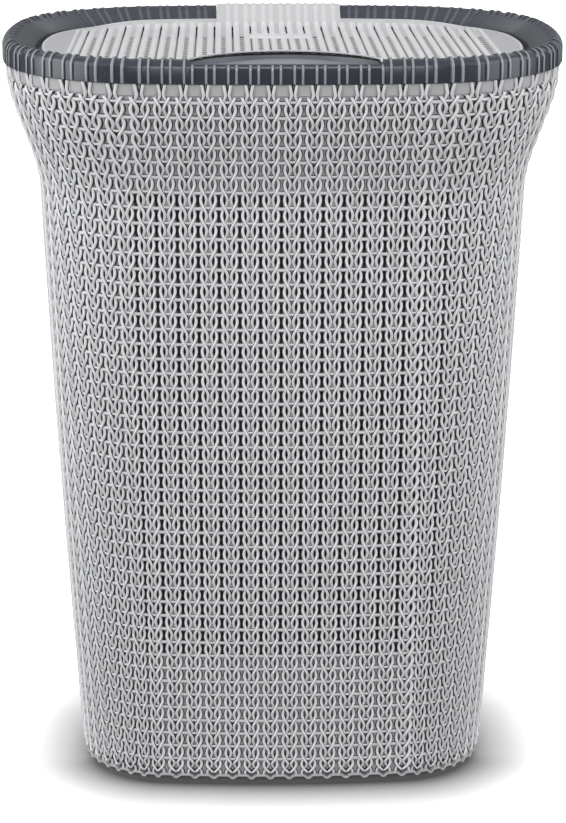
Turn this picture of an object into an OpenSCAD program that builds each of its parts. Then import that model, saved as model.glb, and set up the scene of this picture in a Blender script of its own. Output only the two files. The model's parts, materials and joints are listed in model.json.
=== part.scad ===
// Laundry hamper with a hinged lid: a tapered tub with a flared collar, a rim
// ring clipped on top of it, and a lid that turns on two pins at the back.
// Millimetres. +X is to the right, +Y to the back, +Z up. The origin is the
// centre of the footprint, on the floor.

/* [Overall] */
// Width over the rim, left to right
body_w = 448; // [420:1:480]
// Depth over the rim, front to back
body_d = 341; // [325:1:360]
// Height of the highest point of the rim
rim_top = 612; // [560:1:660]

/* [Plan shape] */
// Bulge of the front and of the back over the whole width
front_bulge = 24.5; // [18:0.5:30]
// Bulge of the left and right sides over the whole depth
side_bulge = 41; // [34:1:48]
// Corner radius at the rim
corner_r = 126; // [118:1:132]

/* [Tub] */
// Thickness of the tub's wall
wall = 2.6; // [2:0.1:3.5]
// Thickness of the tub's floor
floor_t = 2.5; // [2:0.5:4]
// Height of the ring that the tub stands on
foot_h = 8; // [6:1:12]
// Height of the flared collar below the rim
collar_h = 104; // [80:2:130]
// How far the wall lies inside the rim's outline just below the collar
collar_inset = 26.5; // [20:0.5:30]
// How much further in the wall lies at the floor
taper = 27; // [20:0.5:32]

/* [Rim ring] */
// Height of the rim's outer face, over its rounded top
rim_h = 19.4; // [17:0.2:24]
// Width of the rim from its outer face to the lid
rim_width = 30; // [26:1:32]
// Thickness of the rim's skin
rim_t = 2.5; // [2.4:0.1:2.8]
// Height of the rim's inner edge below its top, at the back
lid_drop = 13.5; // [13:0.1:14]
// Width of the ledge that carries the lid
ledge_w = 6.5; // [5:0.5:8]

/* [Finger grip] */
// Width of the grip
grip_w = 146; // [110:1:150]
// Radius of the grip's curved back edge
grip_r = 84; // [80:1:90]
// How far the grip reaches back from the rim's outer face
grip_depth = 110.5; // [100:0.5:112]
// Height of the grip's front edge below the rim's top
grip_drop = 4; // [3.5:0.1:5]
// Depth of the grip's hollow below its front edge
grip_hollow = 12.5; // [12:0.1:13]

/* [Lid] */
// Gap between the lid and the rim
lid_gap = 0.8; // [0.6:0.1:1.2]
// Thickness of the lid's plate
lid_t = 2.2; // [1.8:0.1:3]
// Slope of the lid down to the back, in degrees
lid_slope = 1; // [0.6:0.1:1.2]
// Height that the lid's back border turns up by
lid_upturn = 4; // [1:0.5:5]

/* [Hinge] */
// Width of the lid's tongue between the ends of the rim
tongue_w = 106.4; // [90:0.2:116]
// Radius of the barrel at the end of the tongue
barrel_r = 9; // [8.8:0.1:9.2]
// Radius of a hinge pin
pin_r = 2.5; // [2:0.1:3]
// Length of a hinge pin
pin_len = 26; // [22:1:28]
// Clearance of the pin in the barrel, on the radius
pin_play = 0.06; // [0.04:0.01:0.1]
// Gap at each end of the tongue
tongue_gap = 0.7; // [0.5:0.1:1]

/* [Hidden] */

light_grey = [0.80, 0.80, 0.81];
dark_grey = [0.29, 0.31, 0.36];

half_w = body_w / 2;
half_d = body_d / 2;
eps = 0.01;

// The plan outline: arcs of three radii with smooth joints. Front and back
// share one radius, left and right another, and corner arcs join them.
front_r = (half_w * half_w + front_bulge * front_bulge) / (2 * front_bulge);
side_r = (half_d * half_d + side_bulge * side_bulge) / (2 * side_bulge);
back_c = [0, half_d - front_r];
right_c = [half_w - side_r, 0];
// The corner arc's centre is where circles inset by the corner radius cross.
inner_front = front_r - corner_r;
inner_side = side_r - corner_r;
c_dist = norm(right_c - back_c);
c_dir = (right_c - back_c) / c_dist;
c_along = (inner_front * inner_front - inner_side * inner_side + c_dist * c_dist) / (2 * c_dist);
c_across = sqrt(inner_front * inner_front - c_along * c_along);
corner_c = back_c + c_along * c_dir + c_across * [c_dir[1], -c_dir[0]];
side_end = atan2(corner_c[1] - right_c[1], corner_c[0] - right_c[0]);
back_start = atan2(corner_c[1] - back_c[1], corner_c[0] - back_c[0]);
side_steps = 2;
corner_steps = 12;
back_steps = 4;
quarter = concat(
    [for (i = [0:side_steps - 1]) side_end * i / side_steps],
    [for (i = [0:corner_steps - 1]) side_end + (back_start - side_end) * i / corner_steps],
    [for (i = [0:back_steps - 1]) back_start + (90 - back_start) * i / back_steps]);
q_len = len(quarter);
plan_n = 4 * q_len;

// Point of the first quarter with its normal at the angle a, inset by d
function quarter_point(a, d) =
    let (n = [cos(a), sin(a)])
    a < side_end ? right_c + (side_r - d) * n :
    a < back_start ? corner_c + (corner_r - d) * n :
    back_c + (front_r - d) * n;

// The whole outline inset by d, counter-clockwise from the right
function plan(d) = [for (i = [0:plan_n - 1])
    let (q = floor(i / q_len), k = i % q_len,
        a = q % 2 == 0 ? quarter[k] : k == 0 ? 90 : quarter[q_len - k],
        p = quarter_point(a, d))
    [(q == 0 || q == 3) ? p[0] : -p[0], q < 2 ? p[1] : -p[1]]];

function smooth_step(s) = s * s * (3 - 2 * s);

// Height at which the rim ring sits on the tub
seat_z = rim_top - rim_h;
collar_z = seat_z - collar_h;
seat_inset = 0.8;

// Inset of the tub's outer face at the height z
function tub_inset(z) =
    let (u = (collar_z - z) / collar_z, s = (z - collar_z) / collar_h)
    z < collar_z ? collar_inset + taper * (0.72 * u + 0.28 * u * u) :
    seat_inset + (collar_inset - seat_inset) * (1 - smooth_step(s));

// Faces between rings of plan_n points; wrapped closes the last ring to the first
function ring_faces(rings, wrapped) = [
    for (k = [0:rings - (wrapped ? 1 : 2)], i = [0:plan_n - 1])
        let (j = (i + 1) % plan_n, a = k * plan_n, b = ((k + 1) % rings) * plan_n)
        [a + i, b + i, b + j, a + j]];

// A solid from rings given as [inset, height], closed by a flat face at each end
module loft(levels) {
    count = len(levels);
    points = [for (l = levels, p = plan(l[0])) [p[0], p[1], l[1]]];
    caps = [[for (i = [0:plan_n - 1]) i],
        [for (i = [0:plan_n - 1]) count * plan_n - 1 - i]];
    polyhedron(points, concat(ring_faces(count, false), caps));
}

// How much higher the lid stands at y than at its back edge
function lid_rise(y) = tan(lid_slope) * (half_d - rim_width - y);

// A closed section carried round the plan. A section point is [inset, height,
// share of the lid's slope that it follows].
module sweep(section) {
    points = [for (s = section, p = plan(s[0])) [p[0], p[1], s[1] + s[2] * lid_rise(p[1])]];
    polyhedron(points, ring_faces(len(section), true));
}

module plan_slab(inset, z0, z1) {
    translate([0, 0, z0]) linear_extrude(z1 - z0) polygon(plan(inset));
}

/* Hinge */
hinge_z = seat_z + 2.1 + 0.8 + barrel_r;
hinge_y = half_d - 1.5 - barrel_r;
notch_half = tongue_w / 2 + tongue_gap;
cheek_t = 3;
boss_r = 6;
boss_len = 13;
notch_floor = seat_z + 2.1;

/* Tub */
spigot_inset = 5.2;
spigot_t = 2.3;
spigot_h = 11;
foot_inset = tub_inset(0) + 6;
foot_w = 4;
lower_steps = 6;
collar_steps = 9;
outer_z = concat(
    [for (i = [0:lower_steps - 1]) foot_h + 1 + (collar_z - foot_h - 1) * i / lower_steps],
    [for (i = [0:collar_steps]) collar_z + collar_h * i / collar_steps]);
clip_w = 14;
clip_z = seat_z + 3.5;
clip_h = 4;

module tub() {
    inner = tub_inset(seat_z) + wall;
    floor_z = foot_h / 2 + floor_t;
    levels = concat(
        [[foot_inset + foot_w, foot_h / 2], [foot_inset + foot_w, 0], [foot_inset, 0], [foot_inset, foot_h]],
        [for (z = outer_z) [tub_inset(z), z]],
        [[spigot_inset, seat_z], [spigot_inset, seat_z + spigot_h],
            [spigot_inset + spigot_t, seat_z + spigot_h], [spigot_inset + spigot_t, seat_z - 2]],
        [for (i = [len(outer_z) - 2:-1:1]) [max(inner, tub_inset(outer_z[i]) + wall), outer_z[i]]],
        [[tub_inset(floor_z) + wall, floor_z]]);
    color(light_grey) difference() {
        loft(levels);
        // the spigot is left out under the hinge
        translate([-notch_half - boss_len - 4, half_d - 30, seat_z])
            cube([2 * (notch_half + boss_len + 4), 40, 40]);
        clips(0.4);
    }
}

// The rim's clips pass through the spigot: front, back and sides
module clips(play) {
    for (x = [-120, 0, 120], s = [-1, 1])
        if (s < 0 || x != 0)
            translate([x, s * (half_d - (x == 0 ? 0 : 7) - spigot_inset - spigot_t / 2), clip_z + clip_h / 2])
                cube([clip_w + 2 * play, 8 + 2 * play, clip_h + 2 * play], center = true);
    for (s = [-1, 1])
        translate([s * (half_w - spigot_inset - spigot_t / 2), 0, clip_z + clip_h / 2])
            cube([8 + 2 * play, clip_w + 2 * play, clip_h + 2 * play], center = true);
}

/* Rim ring */
top_r = 6.5;
lid_edge_z = rim_top - lid_drop;
ledge_z = lid_edge_z - lid_t - 0.6;
slope_in = rim_width;
slope_t = 2.2;
outer_skin = concat(
    [[0, seat_z, 0]],
    [for (a = [0:22.5:90]) [top_r - top_r * cos(a), rim_top - top_r + top_r * sin(a), 0]],
    [[slope_in, lid_edge_z, 1]]);
inner_skin = concat(
    [[slope_in - slope_t, lid_edge_z - 1.6, 1]],
    [for (a = [90:-30:0]) [top_r - (top_r - rim_t) * cos(a), rim_top - top_r + (top_r - rim_t) * sin(a), 0]],
    [[rim_t, seat_z, 0]]);
ledge_skin = [[slope_in, ledge_z, 0], [slope_in + ledge_w, ledge_z, 0],
    [slope_in + ledge_w, ledge_z - slope_t, 0], [slope_in - slope_t, ledge_z - slope_t, 0]];

// The rim's section without its hollow
solid_section = concat(outer_skin, [[slope_in, ledge_z - slope_t, 0], [0.5 * slope_in, seat_z, 0]]);

// The grip: a D in plan, grown by extra, over a hollow that is part of a
// cylinder along X. The hollow is lowest where the grip ends under the lid.
grip_lip_z = rim_top - grip_drop;
grip_low_z = grip_lip_z - grip_hollow;
grip_back_y = grip_depth - half_d;
grip_low_y = grip_back_y - 25;
grip_run = grip_low_y + half_d - top_r;
hollow_r = (grip_run * grip_run + grip_hollow * grip_hollow) / (2 * grip_hollow);
module grip_plan(extra, z0, z1) {
    translate([0, 0, z0]) linear_extrude(z1 - z0) intersection() {
        translate([0, grip_back_y - grip_r]) circle(r = grip_r + extra, $fn = 180);
        square([grip_w + 2 * extra, 2 * half_d + 40], center = true);
    }
}
// The space over the hollow, deeper by extra
module grip_hollow_space(extra) {
    translate([-grip_w, grip_low_y, grip_low_z + hollow_r]) rotate([0, 90, 0])
        cylinder(r = hollow_r + extra, h = 2 * grip_w, $fn = 360);
}

module rim_ring() {
    color(dark_grey) difference() {
        union() {
            difference() {
                union() {
                    sweep(concat(outer_skin, ledge_skin, inner_skin));
                    cheeks();
                }
                hinge_notch();
            }
            hinge_floor();
            intersection() {
                clips(0);
                plan_slab(rim_t - eps, clip_z, clip_z + clip_h);
            }
            grip_tray();
        }
        intersection() {
            grip_plan(0, seat_z + 1, rim_top + 5);
            union() {
                grip_hollow_space(0);
                translate([-grip_w, -half_d - 5, grip_lip_z]) cube([2 * grip_w, grip_depth, 20]);
            }
        }
        for (s = [-1, 1]) pin_bore(s, pin_r, notch_half - eps, notch_half + boss_len - 1);
    }
}

// Walls that close the hollow ring at both sides of the tongue, with the
// bosses for the hinge pins
module cheeks() {
    intersection() {
        sweep(solid_section);
        for (s = [-1, 1]) {
            translate([s * (notch_half + cheek_t / 2), half_d - 20, rim_top - 15])
                cube([cheek_t, 60, 60], center = true);
            pin_boss(s);
        }
    }
}
module hinge_notch() {
    translate([-notch_half, half_d - 45, notch_floor]) cube([2 * notch_half, 60, 30]);
}
module hinge_floor() {
    intersection() {
        difference() {
            plan_slab(eps, seat_z, notch_floor);
            plan_slab(slope_in + ledge_w, seat_z - 1, notch_floor + 1);
        }
        translate([-notch_half - cheek_t, half_d - 45, seat_z]) cube([2 * (notch_half + cheek_t), 60, 10]);
    }
}
module pin_boss(side) {
    translate([side > 0 ? notch_half : -notch_half - boss_len, hinge_y, hinge_z])
        rotate([0, 90, 0]) cylinder(r = boss_r, h = boss_len, $fn = 48);
}
// A bore or pin of radius r on the hinge axis, from x0 to x1 on one side
module pin_bore(side, r, x0, x1) {
    translate([side > 0 ? x0 : -x1, hinge_y, hinge_z])
        rotate([0, 90, 0]) cylinder(r = r, h = x1 - x0, $fn = 64);
}
// The grip's floor with a wall round it, and a ledge that runs on under the lid
module grip_tray() {
    tray_z = ledge_z - slope_t;
    intersection() {
        plan_slab(1, seat_z, grip_lip_z);
        union() {
            intersection() {
                grip_plan(0, seat_z, rim_top);
                difference() {
                    grip_hollow_space(rim_t);
                    grip_hollow_space(-1);
                }
            }
            difference() {
                grip_plan(0, tray_z, rim_top - 3);
                grip_plan(-rim_t, tray_z - 1, rim_top);
            }
            difference() {
                grip_plan(ledge_w, tray_z, ledge_z);
                grip_plan(-rim_t, tray_z - 1, rim_top);
            }
        }
    }
}

/* Lid */
lid_inset = slope_in + lid_gap;
lid_back = half_d - lid_inset;
skirt_z = ledge_z + 0.3;
upturn_w = 34;
tongue_start = lid_back - 24;
lid_steps = 10;
lid_ys = concat([-half_d], [for (i = [0:lid_steps]) lid_back - upturn_w + (upturn_w + 1) * i / lid_steps]);

// Height of the lid's top face, without the tongue
function lid_top(y) = lid_edge_z + lid_rise(y)
    + lid_upturn * smooth_step(min(1, max(0, (y - lid_back + upturn_w) / upturn_w)));

module lid() {
    color(light_grey) difference() {
        union() {
            intersection() {
                plan_slab(lid_inset, skirt_z - 5, rim_top);
                lid_plate();
            }
            difference() {
                intersection() {
                    plan_slab(lid_inset, skirt_z, rim_top);
                    lid_block();
                }
                plan_slab(lid_inset + rim_t, skirt_z - 1, rim_top + 1);
                grip_plan(ledge_w + 2, skirt_z - 1, rim_top);
                // no skirt across the tongue
                translate([-tongue_w / 2, lid_back - 20, skirt_z - 1]) cube([tongue_w, 40, 40]);
            }
            tongue();
        }
        grip_plan(0.6, seat_z, rim_top + 5);
        for (s = [-1, 1])
            pin_bore(s, pin_r + pin_play, tongue_w / 2 - (pin_len - boss_len) - 1.5, tongue_w / 2 + 1);
    }
}
module along_x(width) {
    translate([-width / 2, 0, 0]) rotate([90, 0, 90]) linear_extrude(width) children();
}
// The plate, and all that is below its top face
module lid_plate() {
    top = [for (y = lid_ys) [y, lid_top(y)]];
    under = [for (i = [len(lid_ys) - 1:-1:0]) [lid_ys[i], lid_top(lid_ys[i]) - lid_t]];
    along_x(body_w) polygon(concat(top, under));
}
module lid_block() {
    top = [for (y = lid_ys) [y, lid_top(y)]];
    along_x(body_w) polygon(concat(top, [[lid_back + 1, seat_z], [-half_d, seat_z]]));
}

// The tongue's top face rises in an S from the lid's plate to the barrel's top
barrel_top = hinge_z + barrel_r;
function tongue_top(y) = let (s = smooth_step((y - tongue_start) / (hinge_y - tongue_start)))
    (lid_edge_z + lid_rise(y)) * (1 - s) + barrel_top * s;
module tongue() {
    steps = 14;
    ys = [for (i = [0:steps]) tongue_start + (hinge_y - tongue_start) * i / steps];
    top = [for (y = ys) [y, tongue_top(y)]];
    under = [for (i = [steps - 1:-1:0]) [ys[i], min(tongue_top(ys[i]) - lid_t, barrel_top - 4)]];
    along_x(tongue_w) polygon(concat(top, [[hinge_y, hinge_z]], under));
    translate([-tongue_w / 2, hinge_y, hinge_z]) rotate([0, 90, 0])
        cylinder(r = barrel_r, h = tongue_w, $fn = 72);
}

/* Hinge pins */
module hinge_pin(side) {
    color(light_grey)
        pin_bore(side, pin_r, notch_half + boss_len - 1.5 - pin_len, notch_half + boss_len - 1.5);
}
module hinge_pin_left() { hinge_pin(-1); }
module hinge_pin_right() { hinge_pin(1); }

tub();
rim_ring();
lid();
hinge_pin_left();
hinge_pin_right();
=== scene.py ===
"""Laundry hamper with lid: the knit-look tub, the ribbed rim ring and the knit-look lid,
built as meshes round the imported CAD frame. Lengths are in metres, in the frame's own axes."""
import json
import math

import bpy
import numpy as np
from mathutils import Matrix, Vector
from mathutils.geometry import tessellate_polygon


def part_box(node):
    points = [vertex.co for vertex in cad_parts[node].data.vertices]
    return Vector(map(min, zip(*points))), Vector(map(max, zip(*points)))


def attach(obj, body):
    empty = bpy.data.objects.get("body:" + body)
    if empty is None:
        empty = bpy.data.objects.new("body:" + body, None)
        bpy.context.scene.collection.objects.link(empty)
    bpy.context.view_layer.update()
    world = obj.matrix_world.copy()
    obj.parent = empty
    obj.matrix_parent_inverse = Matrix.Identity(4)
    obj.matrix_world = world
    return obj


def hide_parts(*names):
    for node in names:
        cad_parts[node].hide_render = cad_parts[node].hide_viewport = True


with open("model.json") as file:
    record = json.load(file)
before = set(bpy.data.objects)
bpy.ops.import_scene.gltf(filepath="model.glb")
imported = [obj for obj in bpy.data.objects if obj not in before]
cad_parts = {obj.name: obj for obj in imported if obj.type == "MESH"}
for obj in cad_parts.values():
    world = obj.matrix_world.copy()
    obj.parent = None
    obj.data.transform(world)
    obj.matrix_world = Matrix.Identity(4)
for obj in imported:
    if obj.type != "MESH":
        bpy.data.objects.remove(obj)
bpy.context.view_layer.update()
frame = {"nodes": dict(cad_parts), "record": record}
MM = 0.001

# ---- sizes from the frame
RIM_LOW, RIM_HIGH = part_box("rim_ring")
_, LID_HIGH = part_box("lid")
HALF_W, HALF_D = RIM_HIGH.x, RIM_HIGH.y
SEAT_Z, RIM_TOP = RIM_LOW.z, RIM_HIGH.z
HINGE = Vector(frame["record"]["behaviour"]["joints"][0]["pos_m"])
BARREL_R = LID_HIGH.z - HINGE.z
TONGUE_HALF, TONGUE_GAP = 53.2 * MM, 0.7 * MM

# Plan outline: front and back arcs, side arcs and corner arcs
FRONT_BULGE, SIDE_BULGE, CORNER_R = 24.5 * MM, 41 * MM, 126 * MM

# Tub profile. TAPER_BEND is the share of the taper that grows with the square of the depth.
COLLAR_Z = SEAT_Z - 104 * MM
SEAT_INSET, COLLAR_INSET, TAPER, TAPER_BEND = 0.8 * MM, 26.5 * MM, 27 * MM, 0.28
FOOT_H, FOOT_INSET, FOOT_W, FLOOR_Z = 8 * MM, 59.5 * MM, 4 * MM, 6.5 * MM
SHELF_INSET = 9 * MM

# Knit pattern of the tub. A wale is a pair of twisted chains with a narrow gap between
# them. Courses are counted down from the first crossing under the rim.
WALES, WALE_SHIFT, CHAIN, SECTORS = 71, 0.29, 0.22, 10
COURSES, LOW_FROM = 47, 35
COURSE, LOW_COURSE, LAST_COURSE = 12.15 * MM, 11.7 * MM, 8.7 * MM
FIRST_CROSSING = SEAT_Z - 13.95 * MM
RIM_COURSE = (FIRST_CROSSING - SEAT_Z) / COURSE
USUAL_PITCH = 16.2 * MM

# Strands: swing to each side, half width, height of the crest, and twist towards and away
SWING, STRAND_W, STRAND_T, TWIST = 2.3 * MM, 1.2 * MM, 1.35 * MM, 0.95 * MM
# Spread of a strand's sides, points in a course, and how far its sides run into the wall
FLARE, STEPS, OVERLAP = 1.0 * MM, 6, 0.3 * MM
# Where the front strand starts and both end, in courses, and how their ends thin out
FRONT_START, FRONT_END, REAR_END = -0.3, 0.75, 0.45
START_FADE, END_FADE, THIN = 0.12, 0.08, 0.02
# Above the first crossing the rear strand straightens and comes forward on its way to the rim
RISE_FROM, RISE_RUN, RISE = -0.5, 0.63, 0.6
FRONT_SPREAD = 0.9

# Cross bars: half width, height, depth, spread, size of the narrow ones and how far they sag
BAR_W, BAR_T, BAR_DEPTH, BAR_FLARE = 1.35 * MM, 1.3 * MM, 3.2 * MM, 0.8 * MM
NARROW_BAR, NARROW_SAG = 0.75, 0.3 * MM
SAG_Z, SAG = (100 * MM, 450 * MM), (0.15 * MM, 1.0 * MM)

# Wall behind the strands: depths, grid lines in wales, closed strips, the wide gap's strip, and
# the courses between which it steps down under the rim
WEB_DEPTH, INNER_DEPTH, STRIP_DEPTH = 3.7 * MM, 5.2 * MM, 2.1 * MM
WALL_EDGES = np.array([-0.355, -CHAIN, -0.085, 0.085, CHAIN, 0.355, 0.42, 0.58])
CLOSED_STRIPS, GAP_STRIP = (2, 5, 7), 6
STRIP_COURSES = (-0.42, -0.34)
OPEN_FROM, OPEN_TO, OPEN_ANGLE = 6, 38, math.radians(24)

# Zigzag cord along the lower edge: lowest height, rise, the shares of a wale that lie low and
# that rise, depth, half width, crest and sides
EDGE_Z, EDGE_RISE, EDGE_LOW, EDGE_RUN, EDGE_DEPTH = 7.4 * MM, 2.6 * MM, 0.04, 0.22, 1.6 * MM
EDGE_W, EDGE_T, EDGE_DROP, EDGE_STEPS = 1.0 * MM, 1.1 * MM, 2.5 * MM, 12

# Rim ring. Rows of its section that keep more than ALL_ROUND of the ribs' height show the ribs
# all round, and the others only at the back. CREST is the height from which a rib is lighter,
# a painted highlight.
RIM_INSET, TOP_R, SLOPE_IN, SLOPE_END = 0.8 * MM, 6.5 * MM, 30 * MM, 25.8 * MM
RIB_OFFSET, RIB_SHARE, RIB_W, RIB_H = 0.243, 0.186, 1.45 * MM, 1.3 * MM
RIB_POWER, CREST, ALL_ROUND = 2.4, 0.86, 0.7
LID_EDGE_Z = RIM_TOP - 13.5 * MM
LEDGE_Z, LEDGE_W, SKIN = LID_EDGE_Z - 2.8 * MM, 6.5 * MM, 2.2 * MM
HINGE_FLOOR_T = 2.1 * MM

# Finger grip
GRIP_HALF, GRIP_R, GRIP_BACK_Y = 73 * MM, 84 * MM, 110.5 * MM - HALF_D
GRIP_LIP_Z, GRIP_LIP_R, GRIP_GAP = RIM_TOP - 4 * MM, 2.4 * MM, 0.6 * MM
GRIP_LOW_Z, GRIP_LOW_Y = GRIP_LIP_Z - 12.5 * MM, GRIP_BACK_Y - 25 * MM
GRIP_CENTRE_Y, GRIP_END = GRIP_BACK_Y - GRIP_R, GRIP_HALF + GRIP_GAP

# Lid: slope, upturn at the back, the borders round its knit, the thin turned-up lip at the
# grip, the bead along its edge, and the angle from the front at which its skirt begins
LID_SLOPE, UPTURN, UPTURN_W = math.radians(1), 4 * MM, 34 * MM
LID_INSET = SLOPE_IN + 0.8 * MM
LID_BACK = HALF_D - LID_INSET
BORDER_X, GRIP_BORDER, FRONT_BORDER, BACK_BORDER = 170 * MM, 10 * MM, 5 * MM, 7 * MM
LIP_RISE, LIP_T, LID_SKIN, BEAD_W = 1.3 * MM, 0.9 * MM, 2 * MM, 1.5 * MM
SKIRT_TURN = 0.088
# Knit on the lid: pitch, first slot, half width of a slot, and the ridges beside it. The
# bridges are shares of a course, measured from its middle, that stay closed.
LID_PITCH, LID_SLOT_X, LID_SLOT = 15.1 * MM, 5.6 * MM, 0.6 * MM
LID_RIDGE, LID_RIDGE_W, LID_RELIEF, LID_VALLEY = 3.35 * MM, 2.5 * MM, 1.5 * MM, 2.3 * MM
LID_COURSES, KNIT_END_Y = 17, 48 * MM
SLOT_BRIDGE, HOLE_BRIDGE = 0.07, 0.2
# Blank badge, and the two short slots beside it
BADGE_X, BADGE_Y, BADGE_EDGE = 24 * MM, (41 * MM, 71 * MM), 0.5 * MM
MARK_X, MARK_HALF, MARK_Y = 30 * MM, 3 * MM, (52 * MM, 56 * MM)

# Places in a piece's list of materials: on the knit, and on the rim ring
# On the knit, the second place is painted shade on the sides of strands and bars, and the third is painted
# shade on the lower edge's cord
SHADED_SIDE_TONE, EDGE_SHADE_TONE = 1, 2
# On the rim ring, the crest and band places are painted highlights on the ribs, and the hollow's place is
# painted light in the grip
CREST_HIGHLIGHT_TONE, BAND_HIGHLIGHT_TONE, HOLLOW_LIGHT_TONE = 1, 2, 3


# ---- plan outline
def plan_arcs():
    """Radii, centres and joint angles of the outline's three kinds of arc."""
    front_r = (HALF_W ** 2 + FRONT_BULGE ** 2) / (2 * FRONT_BULGE)
    side_r = (HALF_D ** 2 + SIDE_BULGE ** 2) / (2 * SIDE_BULGE)
    back_c, side_c = HALF_D - front_r, HALF_W - side_r
    apart = math.hypot(side_c, back_c)
    ux, uy = side_c / apart, -back_c / apart
    inner_f, inner_s = front_r - CORNER_R, side_r - CORNER_R
    along = (inner_f ** 2 - inner_s ** 2 + apart ** 2) / (2 * apart)
    across = math.sqrt(inner_f ** 2 - along ** 2)
    corner = (along * ux + across * uy, back_c + along * uy - across * ux)
    side_end = math.atan2(corner[1], corner[0] - side_c)
    back_start = math.atan2(corner[1] - back_c, corner[0])
    return front_r, side_r, back_c, side_c, corner, side_end, back_start


FRONT_R, SIDE_R, BACK_C, SIDE_C, CORNER_C, SIDE_END, BACK_START = plan_arcs()


def arc_of(angle):
    """Centre and radius of the outline's arc whose outward normal has each angle."""
    nx, ny = np.cos(angle), np.sin(angle)
    a = np.arctan2(np.abs(ny), np.abs(nx))
    kinds = [a < SIDE_END, a > BACK_START]
    cx = np.select(kinds, [SIDE_C, 0.0], CORNER_C[0]) * np.sign(nx)
    cy = np.select(kinds, [0.0, BACK_C], CORNER_C[1]) * np.sign(ny)
    return cx, cy, np.select(kinds, [SIDE_R, FRONT_R], CORNER_R)


def plan(angle, inset):
    """x and y of the outline, moved in by inset, where its normal has this angle."""
    cx, cy, r = arc_of(angle)
    return cx + (r - inset) * np.cos(angle), cy + (r - inset) * np.sin(angle)


def wale_table():
    """Normal angles and the wale count reached there, from the front's centre."""
    angle = np.linspace(-0.5 * np.pi, 1.5 * np.pi, 8001)
    middle = (angle[1:] + angle[:-1]) / 2
    radius = arc_of(middle)[2]
    share = np.zeros(len(angle))
    for inset in (0.0, COLLAR_INSET + TAPER):
        length = np.concatenate([[0], np.cumsum(radius - inset)])
        share += length / length[-1] / 2
    return angle, share * WALES - WALE_SHIFT


TABLE_ANGLE, TABLE_WALE = wale_table()


def wale_angle(wale):
    """Normal angle of a place counted in wales round the tub. Wale 0 is near the front's centre."""
    lap = np.floor((wale + WALE_SHIFT) / WALES)
    return np.interp(wale - lap * WALES, TABLE_WALE, TABLE_ANGLE) + lap * 2 * np.pi


def points(x, y, z):
    """Points or vectors from their three coordinates."""
    return np.stack(np.broadcast_arrays(x, y, z), -1)


def outline_ring(angle, inset, z):
    """Points of the outline, moved in by inset, at the height z."""
    return points(*plan(angle, inset), z)


def wale_pitch(wale, inset):
    """Distance between neighbouring wales at this inset."""
    step = 0.05  # of a wale
    turn = wale_angle(wale + step) - wale_angle(wale - step)
    return (arc_of(wale_angle(wale))[2] - inset) * turn / (2 * step)


def front_y(x, inset):
    """y of the outline's front at x, moved in by inset."""
    x = np.abs(x)
    arcs = ((0, BACK_C, FRONT_R), (*CORNER_C, CORNER_R), (SIDE_C, 0, SIDE_R))
    flat, corner, side = (cy + np.sqrt(np.maximum((r - inset) ** 2 - (x - cx) ** 2, 0))
                          for cx, cy, r in arcs)
    joint = (FRONT_R - inset) * math.cos(BACK_START)
    end = SIDE_C + (SIDE_R - inset) * math.cos(SIDE_END)
    return -np.select([x < joint, x > end], [flat, side], corner)


# ---- mesh helpers
def ease(t):
    """A smooth step from 0 to 1."""
    t = np.clip(t, 0, 1)
    return t * t * (3 - 2 * t)


def make_piece(name, verts, quads, tones, materials, body):
    """A smooth-shaded mesh object. A quad whose last two corners are the same is a triangle,
    and tones gives each face its place in the list of materials."""
    mesh = bpy.data.meshes.new(name)
    triangle = quads[:, 2] == quads[:, 3]
    sizes = np.where(triangle, 3, 4)
    keep = np.ones(quads.shape, bool)
    keep[triangle, 3] = False
    mesh.vertices.add(len(verts))
    mesh.vertices.foreach_set("co", verts.astype(np.float32).ravel())
    mesh.loops.add(int(sizes.sum()))
    mesh.loops.foreach_set("vertex_index", quads[keep].astype(np.int32))
    mesh.polygons.add(len(quads))
    mesh.polygons.foreach_set("loop_start", (np.cumsum(sizes) - sizes).astype(np.int32))
    for material in materials:
        mesh.materials.append(material)
    mesh.polygons.foreach_set("material_index", tones.astype(np.int32))
    mesh.polygons.foreach_set("use_smooth", np.ones(len(quads), bool))
    mesh.update(calc_edges=True)
    mesh.validate()
    mesh.set_sharp_from_angle(angle=math.radians(50))
    piece = bpy.data.objects.new(name, mesh)
    bpy.context.scene.collection.objects.link(piece)
    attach(piece, body)
    return piece


class Builder:
    """Collects vertices and faces of several shapes for one piece."""

    def __init__(self):
        self.verts, self.faces, self.tones, self.count = [], [], [], 0

    def add(self, verts, faces, tones=None):
        """Adds a shape. Its faces count its own vertices from 0."""
        verts = np.asarray(verts, float).reshape(-1, 3)
        faces = np.asarray(faces, int).reshape(-1, 4)
        self.verts.append(verts)
        self.faces.append(faces + self.count)
        self.tones.append(np.zeros(len(faces), int) if tones is None else tones)
        self.count += len(verts)

    def piece(self, name, materials, body="hamper"):
        """Makes one piece of all the shapes."""
        tones = np.concatenate(self.tones)
        return make_piece(name, np.vstack(self.verts), np.vstack(self.faces), tones, materials, body)


def grid_faces(rows, columns, closed=False):
    """Quads between neighbours of a grid of rows x columns vertices."""
    j = np.arange(columns if closed else columns - 1)
    r = np.arange(rows - 1)[:, None] * columns
    right = (j + 1) % columns
    return np.stack([r + j, r + right, r + columns + right, r + columns + j], -1).reshape(-1, 4)


def polygon_triangles(points):
    """Triangles that fill a flat polygon, as quads whose last corner is doubled."""
    return np.array([(a, b, c, c) for a, b, c in tessellate_polygon([[Vector(p) for p in points]])])


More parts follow.
